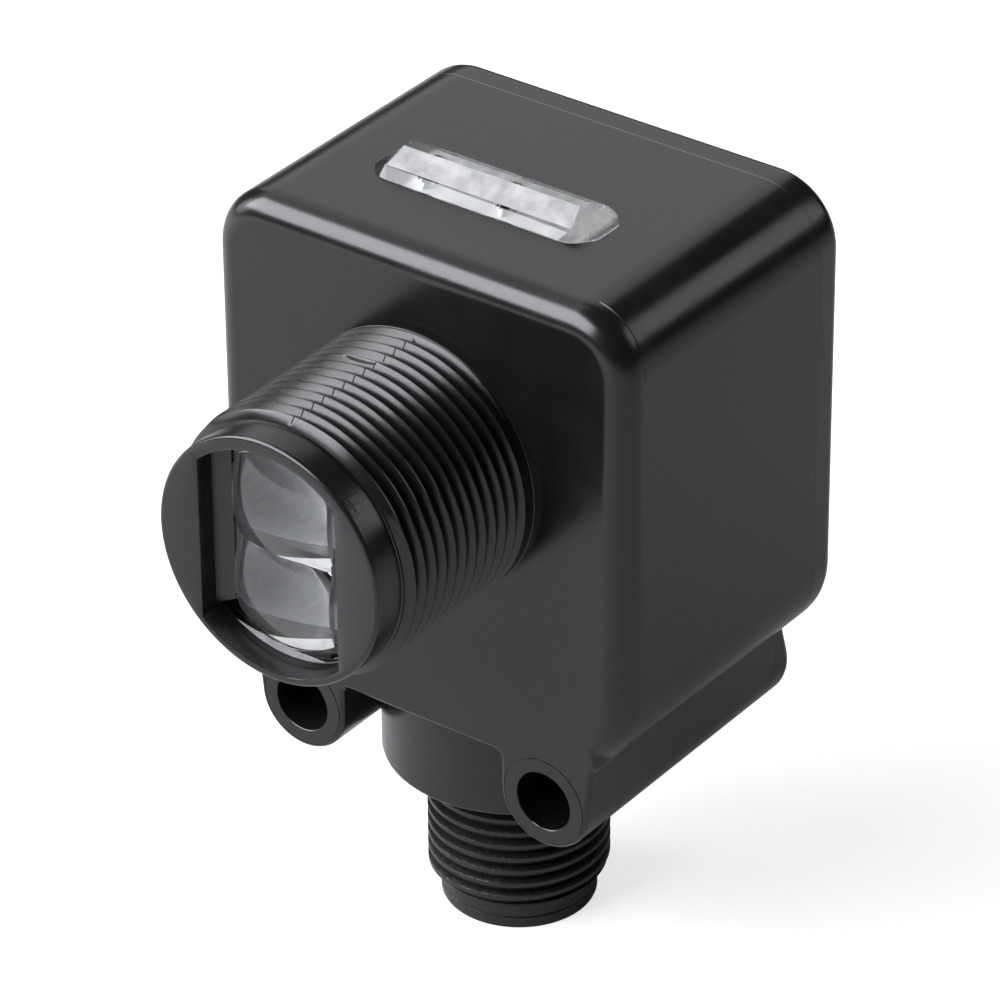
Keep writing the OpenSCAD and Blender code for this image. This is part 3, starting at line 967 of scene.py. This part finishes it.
def moulded_plastic(name, shade, rough, grain_depth, grain_scale=9000.0, specular=0.5):
    """Black injection-moulded plastic: fine grain, faint flow clouds, slightly paler worn edges."""
    n = Nodes(name)
    clouds = n.noise(260.0, 4.0)
    fine = n.noise(grain_scale, 2.0, 0.6)
    wear = n.edges(0.00015)
    base = n.mix(n.remap(clouds, 0.3, 0.7), grey(shade * 0.8, COOL), grey(shade * 1.25, COOL))
    base = n.mix(n.math("MULTIPLY", wear, 0.35), base, grey(shade * 3.0, COOL))
    roughness = n.math(
        "ADD", n.remap(clouds, 0.3, 0.7, rough - 0.03, rough + 0.03), n.remap(fine, 0.3, 0.7, -0.02, 0.02)
    )
    smear = n.bump(n.noise(700.0, 2.0), 0.000004)
    n.set(Base_Color=base, Roughness=roughness, Normal=n.bump(fine, grain_depth, normal=smear))
    n.set(IOR=1.5, Specular_IOR_Level=specular)
    return n.material


def clear_plastic(name, tint, rough=0.0):
    """Clear moulded acrylic with faint ripples and a few dull spots."""
    n = Nodes(name)
    ripple = n.noise(350.0, 2.0)
    spots = n.remap(n.noise(2600.0, 2.0), 0.62, 0.8, rough, rough + 0.05)
    n.set(Base_Color=tint, Roughness=spots, Normal=n.bump(ripple, 0.000003))
    n.set(IOR=1.49, Transmission_Weight=1.0)
    return n.material


def frosted(name, dim, bright, glow=0.0, reach=None):
    """Rough moulded face of a clear part. glow is a painted glow: the face gives off light that stands for
    the light the part carries to it.

    Beyond reach (metres from the window's middle along X) the face and its glow are painted dark, as painted
    shade.
    """
    n = Nodes(name)
    specks = n.noise(5200.0, 3.0, 0.6)
    broad = n.noise(900.0, 2.0)
    mottle = n.math("MULTIPLY", n.remap(specks, 0.3, 0.7, 0.8, 1.2), n.remap(broad, 0.3, 0.7, 0.0, 1.0))
    base = n.mix(mottle, grey(dim), grey(bright))
    if reach is not None:
        # Painted shade: beyond reach the colour, and with it the glow, is painted dark.
        away = n.math("ABSOLUTE", n.math("SUBTRACT", n.coordinate("X"), WINDOW_X * MM), 0.0)
        base = n.mix(n.remap(away, reach, reach + 0.0004), base, grey(0.1))
    # Painted glow: the face gives off its own mottled colour as light.
    n.set(Emission_Color=base, Emission_Strength=glow)
    n.set(Base_Color=base, Roughness=n.remap(specks, 0.3, 0.7, 0.45, 0.6))
    n.set(Normal=n.bump(specks, 0.00002), IOR=1.49, Transmission_Weight=0.35)
    return n.material


def rubber(name, shade):
    """Matt black rubber."""
    n = Nodes(name)
    fine = n.noise(6000.0, 2.0)
    base = n.mix(n.remap(fine, 0.3, 0.7), grey(shade * 0.85), grey(shade))
    n.set(Base_Color=base, Roughness=n.remap(fine, 0.3, 0.7, 0.5, 0.65), Normal=n.bump(fine, 0.00001))
    return n.material


def light_tunnel(name):
    """Matt plastic, black on its front face and pale inside the light channels."""
    n = Nodes(name)
    fine = n.noise(6000.0, 2.0)
    front = node_box("light_baffle")[0].y * MM
    depth = n.remap(n.coordinate("Y"), front + 0.00002, front + 0.00006)
    inside = n.mix(n.remap(fine, 0.3, 0.7), grey(0.28), grey(0.36))
    n.set(Base_Color=n.mix(depth, grey(0.012), inside), Roughness=n.remap(fine, 0.3, 0.7, 0.55, 0.65))
    n.set(Normal=n.bump(fine, 0.000006))
    return n.material


def solder_mask(name):
    """Green lacquer over the faint weave of a circuit board."""
    n = Nodes(name)
    weave = n.node("ShaderNodeTexBrick", Scale=900.0, Vector=n.place)
    cloud = n.noise(400.0)
    base = n.mix(n.remap(cloud, 0.3, 0.7), (0.004, 0.07, 0.025, 1), (0.008, 0.12, 0.045, 1))
    n.set(Base_Color=n.mix(0.12, base, weave), Roughness=n.remap(cloud, 0.3, 0.7, 0.25, 0.4))
    n.set(Normal=n.bump(cloud, 0.00001))
    return n.material


def epoxy(name, colour, rough=0.5):
    """Cast or drawn plastic in one colour with a fine mottle."""
    n = Nodes(name)
    fine = n.noise(7000.0)
    darker = tuple(c * 0.75 for c in colour) + (1.0,)
    base = n.mix(n.remap(fine, 0.3, 0.7), darker, tuple(colour) + (1.0,))
    n.set(Base_Color=base, Roughness=n.remap(fine, 0.3, 0.7, rough - 0.08, rough + 0.08))
    n.set(Normal=n.bump(fine, 0.00001))
    return n.material


def metal(name, colour, rough):
    """Bare metal with fine scratches and duller patches."""
    n = Nodes(name)
    scratches = n.noise(4000.0, 4.0)
    dull = tuple(c * 0.8 for c in colour) + (1.0,)
    base = n.mix(n.remap(scratches, 0.35, 0.65), dull, tuple(colour) + (1.0,))
    n.set(Base_Color=base, Roughness=n.remap(scratches, 0.3, 0.7, rough - 0.06, rough + 0.1), Metallic=1.0)
    n.set(Normal=n.bump(scratches, 0.000006))
    return n.material


MATERIALS = {
    "body_plastic": moulded_plastic("black_body_plastic", 0.006, 0.22, 0.0000025),
    "bezel_plastic": moulded_plastic("black_bezel_plastic", 0.008, 0.24, 0.000003),
    "connector_plastic": moulded_plastic("grainy_connector_plastic", 0.007, 0.38, 0.00007, 3000.0, 0.45),
    "clear_plastic": clear_plastic("clear_lens_plastic", (0.97, 0.985, 0.99, 1)),
    "window_plastic": clear_plastic("clear_window_plastic", (0.98, 0.985, 0.98, 1), 0.02),
    "seal_rubber": rubber("black_seal_rubber", 0.03),
    "baffle_plastic": light_tunnel("matt_baffle_plastic"),
    "board": solder_mask("board_solder_mask"),
    "chip_epoxy": epoxy("chip_epoxy", (0.012, 0.012, 0.013)),
    "led_epoxy": epoxy("clear_led_epoxy", (0.75, 0.77, 0.8), 0.2),
    "diode_epoxy": epoxy("dark_diode_epoxy", (0.02, 0.02, 0.035), 0.2),
    "capacitor_ceramic": epoxy("capacitor_ceramic", (0.35, 0.22, 0.11)),
    "shield_metal": metal("tinned_shield", (0.75, 0.74, 0.71), 0.3),
    "gold_contact": metal("gold_plated_contact", (0.83, 0.58, 0.2), 0.22),
    "green_led": epoxy("green_indicator", (0.012, 0.07, 0.04), 0.3),
    "amber_led": epoxy("amber_indicator", (0.09, 0.045, 0.01), 0.3),
    "brown_wire": epoxy("brown_insulation", (0.1, 0.035, 0.015), 0.4),
    "white_wire": epoxy("white_insulation", (0.72, 0.71, 0.68), 0.4),
    "blue_wire": epoxy("blue_insulation", (0.02, 0.07, 0.35), 0.4),
    "black_wire": epoxy("black_insulation", (0.01, 0.01, 0.011), 0.4),
}


def dress_frame_nodes():
    """Every carried-over CAD node gets the finish of its slot in the record."""
    for part in frame["record"]["subparts"]:
        slots = nodes[part["node"]].data.materials
        slots.clear()
        slots.append(MATERIALS[part["material_slot"]])


def frost(obj, material, chosen):
    """Gives material to the faces for which chosen(centre in millimetres, normal) is true."""
    obj.data.materials.append(material)
    last = len(obj.data.materials) - 1
    for polygon in obj.data.polygons:
        if chosen(polygon.center / MM, polygon.normal):
            polygon.material_index = last


def on_prism_slope(centre, normal):
    faces_front = -0.95 < normal.y < -0.4 and normal.z > 0.2 and abs(normal.x) < 0.2
    return faces_front and centre.z > TOP + STEP_HEIGHT + 0.1


def on_prism_underside(centre, normal):
    return normal.z < -0.9 and centre.z < WINDOW_LOW.z + 0.1


def on_dome_flank(centre, normal):
    return abs(normal.x) > 0.9 and abs(centre.x) > DOME_HALF_W - 0.05


def on_lens_land(centre, normal):
    return normal.y < -0.9 and centre.y < BARREL_FRONT - 0.02 and centre.z < -6.5


def on_lens_rib(centre, normal):
    return normal.y > 0.9 and centre.y > BARREL_FRONT + 1.02


dress_frame_nodes()

finish_piece(housing(), MATERIALS["body_plastic"], "housing")
finish_piece(rear_cover(), MATERIALS["body_plastic"], "rear_cover")
finish_piece(bezel(), MATERIALS["bezel_plastic"], "nose_bezel")
twin_lens = finish_piece(lens(), MATERIALS["clear_plastic"], "lens")
finish_piece(connector_shell(), MATERIALS["connector_plastic"], "connector_shell")

prism = finish_piece(
    indicator_window(), MATERIALS["window_plastic"], "indicator_window", sharp_angle=12
)

frosted_facet = frosted("frosted_facet", 0.28, 0.5)
frost(prism, frosted_facet, on_prism_slope)
# Painted glow: the prism's underside gives off light that stands for light carried through the clear part,
# and is painted dark towards both ends as painted shade.
frost(prism, frosted("prism_frosting", 0.35, 0.7, 0.15, 0.0060), on_prism_underside)
# Painted highlight: the pale frosted land stands for light reflected off the flange's low edge.
frost(twin_lens, frosted_facet, on_lens_land)
# Painted glow: the ribs' rear faces give off light that stands for the light falling through the domes onto
# them.
frost(twin_lens, frosted("lit_frosting", 0.6, 0.9, 0.45), on_lens_rib)
# Painted glow: the domes' flat flanks give off a faint light that stands for light carried in the clear
# lens.
frost(twin_lens, frosted("dome_flank", 0.1, 0.26, 0.3), on_dome_flank)

# ---------------------------------------------------------------- stage, lights and camera

AIM = Vector((4.91, 2.03, -2.14)) * MM
AZIMUTH = math.radians(36.786)
ELEVATION = math.radians(31.561)
ROLL = math.radians(-0.472)
DISTANCE = 0.3565
FOCAL_LENGTH = 208.7
FLOOR_HALF = 3.0


def view_axes():
    """Right, up and backward directions of the camera."""
    back = Vector((
        math.sin(AZIMUTH) * math.cos(ELEVATION),
        -math.cos(AZIMUTH) * math.cos(ELEVATION),
        math.sin(ELEVATION),
    ))
    right = Vector((math.cos(AZIMUTH), math.sin(AZIMUTH), 0))
    up = back.cross(right)
    rolled_right = right * math.cos(ROLL) + up * math.sin(ROLL)
    rolled_up = up * math.cos(ROLL) - right * math.sin(ROLL)
    return rolled_right, rolled_up, back


def add_camera():
    right, up, back = view_axes()
    data = bpy.data.cameras.new("camera")
    data.sensor_width = 36
    data.lens = FOCAL_LENGTH
    data.clip_start = 0.01
    camera = bpy.data.objects.new("camera", data)
    bpy.context.scene.collection.objects.link(camera)
    place = AIM + back * DISTANCE
    camera.matrix_world = Matrix((
        (right.x, up.x, back.x, place.x),
        (right.y, up.y, back.y, place.y),
        (right.z, up.z, back.z, place.z),
        (0, 0, 0, 1),
    ))
    bpy.context.scene.camera = camera


def softbox(name, direction, distance, width, height, radiance):
    """Area light that faces the object, as bright per unit of its face as radiance says."""
    data = bpy.data.lights.new(name, "AREA")
    data.shape = "RECTANGLE"
    data.size = width
    data.size_y = height
    data.energy = radiance * math.pi * width * height
    data.color = COOL_LIGHT
    light = bpy.data.objects.new(name, data)
    bpy.context.scene.collection.objects.link(light)
    away = Vector(direction).normalized()
    light.location = AIM + away * distance
    light.rotation_euler = away.to_track_quat("Z", "Y").to_euler()
    light.visible_camera = False


def add_floor():
    """Pale floor that can't be seen from below, so that it doesn't hide the object's underside."""
    size = FLOOR_HALF
    z = cad_bounds[0][2]
    mesh = bpy.data.meshes.new("floor")
    corners = [(-size, -size, z), (size, -size, z), (size, size, z), (-size, size, z)]
    mesh.from_pydata(corners, [], [(0, 1, 2, 3)])
    floor = bpy.data.objects.new("floor", mesh)
    bpy.context.scene.collection.objects.link(floor)
    n = Nodes("pale_floor")
    cloud = n.noise(3.0, 2.0)
    path = n.tree.nodes.new("ShaderNodeLightPath")
    seen = n.math("MULTIPLY", path.outputs["Is Camera Ray"], 0.7)
    n.set(Base_Color=n.mix(cloud, grey(0.51), grey(0.54)), Roughness=0.8, Specular_IOR_Level=0.1)
    n.set(Emission_Color=grey(1.0), Emission_Strength=seen)
    geometry = n.tree.nodes.new("ShaderNodeNewGeometry")
    clear = n.tree.nodes.new("ShaderNodeBsdfTransparent")
    either = n.tree.nodes.new("ShaderNodeMixShader")
    n.tree.links.new(geometry.outputs["Backfacing"], either.inputs[0])
    n.tree.links.new(n.shader.outputs[0], either.inputs[1])
    n.tree.links.new(clear.outputs[0], either.inputs[2])
    n.tree.links.new(either.outputs[0], n.tree.nodes["Material Output"].inputs["Surface"])
    mesh.materials.append(n.material)


def add_world():
    """Even grey surroundings for light, and a pale backdrop behind the object."""
    world = bpy.data.worlds.new("studio")
    world.use_nodes = True
    tree = world.node_tree
    background = tree.nodes["Background"]
    path = tree.nodes.new("ShaderNodeLightPath")
    mix = tree.nodes.new("ShaderNodeMix")
    mix.data_type = "RGBA"
    mix.inputs[6].default_value = grey(0.07, COOL_WORLD)
    mix.inputs[7].default_value = grey(1.0)
    tree.links.new(path.outputs["Is Camera Ray"], mix.inputs["Factor"])
    tree.links.new(mix.outputs[2], background.inputs["Color"])
    bpy.context.scene.world = world


add_camera()
add_floor()
add_world()
softbox("key_light", (-0.51, -0.60, 0.62), 0.45, 0.56, 0.34, 9.5)
softbox("top_back_light", (-0.50, 0.68, 0.54), 0.50, 0.36, 0.34, 0.95)
softbox("overhead_light", (-0.58, 0.12, 0.80), 0.50, 0.26, 0.30, 0.9)
softbox("side_light", (-0.92, -0.28, 0.27), 0.50, 0.26, 0.26, 2.4)
softbox("rim_light", (0.60, 0.68, 0.42), 0.50, 0.22, 0.20, 1.6)
bpy.context.scene.view_settings.view_transform = "Standard"
